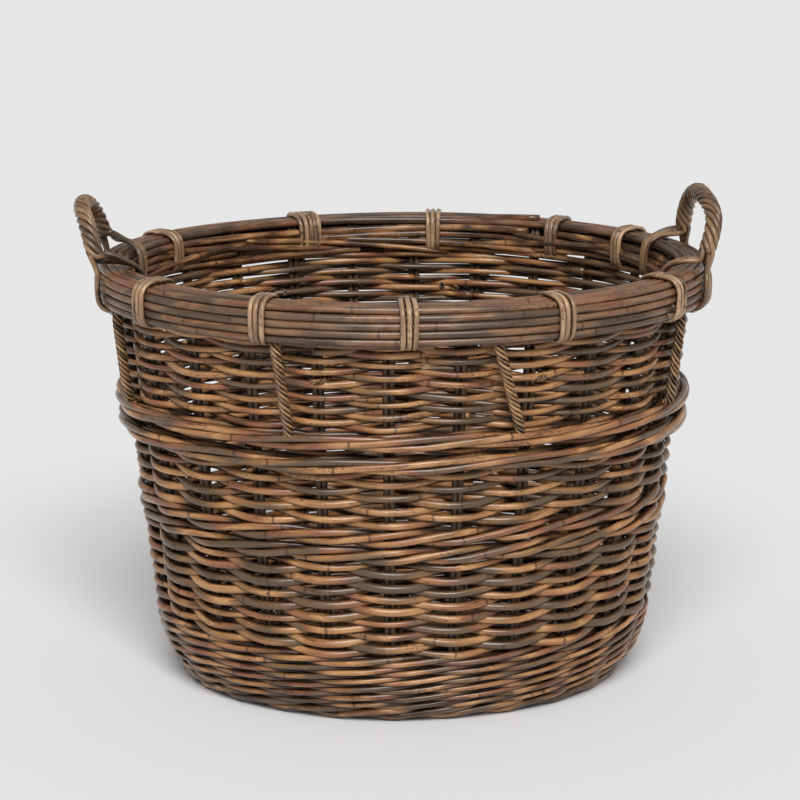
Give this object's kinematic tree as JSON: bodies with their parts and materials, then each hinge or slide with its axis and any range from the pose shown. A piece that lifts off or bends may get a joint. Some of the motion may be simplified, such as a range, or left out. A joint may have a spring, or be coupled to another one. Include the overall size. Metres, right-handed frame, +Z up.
{
  "type": "woven laundry basket",
  "caption": "Oval flared laundry basket woven from round rattan rods, with a bundled rim lashed with cane, a raised shoulder band, twisted side ties and twisted rod end handles.",
  "frame": {"origin": "on the floor under the middle of the base", "axes": "+X towards the right-hand handle along the long side, -Y towards the front, +Z up"},
  "size_m": [0.633, 0.4929, 0.4965],
  "materials": {
    "weaver": "satin",
    "stake": "satin",
    "rim_rod": "satin",
    "cane_binding": "satin",
    "twisted_rod": "satin",
    "base_weaver": "matte"
  },
  "bodies": {
    "root": {"base_weave": "base_weaver", "base_sticks": "base_weaver", "stake_pair_1": "stake", "stake_pair_2": "stake", "stake_pair_3": "stake", "stake_pair_4": "stake", "stake_pair_5": "stake", "stake_pair_6": "stake", "stake_pair_7": "stake", "stake_pair_8": "stake", "stake_pair_9": "stake", "stake_pair_10": "stake", "stake_pair_11": "stake", "stake_pair_12": "stake", "stake_pair_13": "stake", "stake_pair_14": "stake", "stake_pair_15": "stake", "stake_pair_16": "stake", "stake_pair_17": "stake", "stake_pair_18": "stake", "stake_pair_19": "stake", "stake_pair_20": "stake", "stake_pair_21": "stake", "stake_pair_22": "stake", "stake_pair_23": "stake", "stake_pair_24": "stake", "foot_wale": "weaver", "middle_wale": "weaver", "shoulder_wale_lower": "weaver", "shoulder_wale_upper": "weaver", "lower_weave_1": "weaver", "lower_weave_2": "weaver", "lower_weave_3": "weaver", "middle_weave_1": "weaver", "middle_weave_2": "weaver", "upper_weave_1": "weaver", "upper_weave_2": "weaver", "rim_outer_rods": "rim_rod", "rim_inner_rods": "rim_rod", "rim_top_rods": "rim_rod", "rim_binding_1": "cane_binding", "rim_binding_2": "cane_binding", "rim_binding_3": "cane_binding", "rim_binding_4": "cane_binding", "rim_binding_5": "cane_binding", "rim_binding_6": "cane_binding", "rim_binding_7": "cane_binding", "rim_binding_8": "cane_binding", "rim_binding_9": "cane_binding", "rim_binding_10": "cane_binding", "handle_right": "twisted_rod", "handle_left": "twisted_rod", "side_tie_1": "twisted_rod", "side_tie_2": "twisted_rod", "side_tie_3": "twisted_rod", "side_tie_4": "twisted_rod", "side_tie_5": "twisted_rod", "side_tie_6": "twisted_rod", "side_tie_7": "twisted_rod", "side_tie_8": "twisted_rod"}
  },
  "joints": []
}
